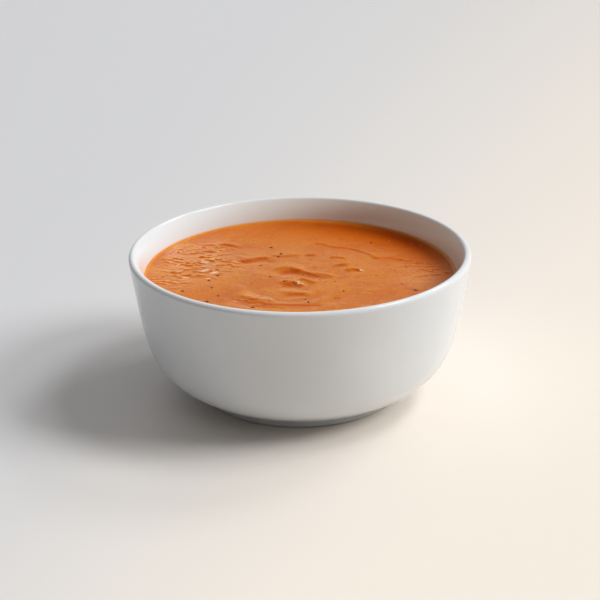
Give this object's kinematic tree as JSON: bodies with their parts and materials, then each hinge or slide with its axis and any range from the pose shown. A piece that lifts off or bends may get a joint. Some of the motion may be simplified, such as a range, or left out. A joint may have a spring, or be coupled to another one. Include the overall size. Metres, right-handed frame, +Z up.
{
  "type": "bowl of creamy tomato soup",
  "caption": "Round white glazed bowl on a foot ring, filled to just under the rim with thick orange tomato soup flecked with pepper.",
  "frame": {"origin": "centre of the circle that the foot ring stands on", "axes": "+Z up along the bowl's axis, -Y towards the side shown in front"},
  "size_m": [0.152, 0.152, 0.0658],
  "materials": {
    "glaze": "plain white satin-gloss glaze",
    "soup": "thick opaque orange soup with a wet satin skin"
  },
  "bodies": {
    "root": {"bowl": "glaze", "soup": "soup"}
  },
  "joints": []
}
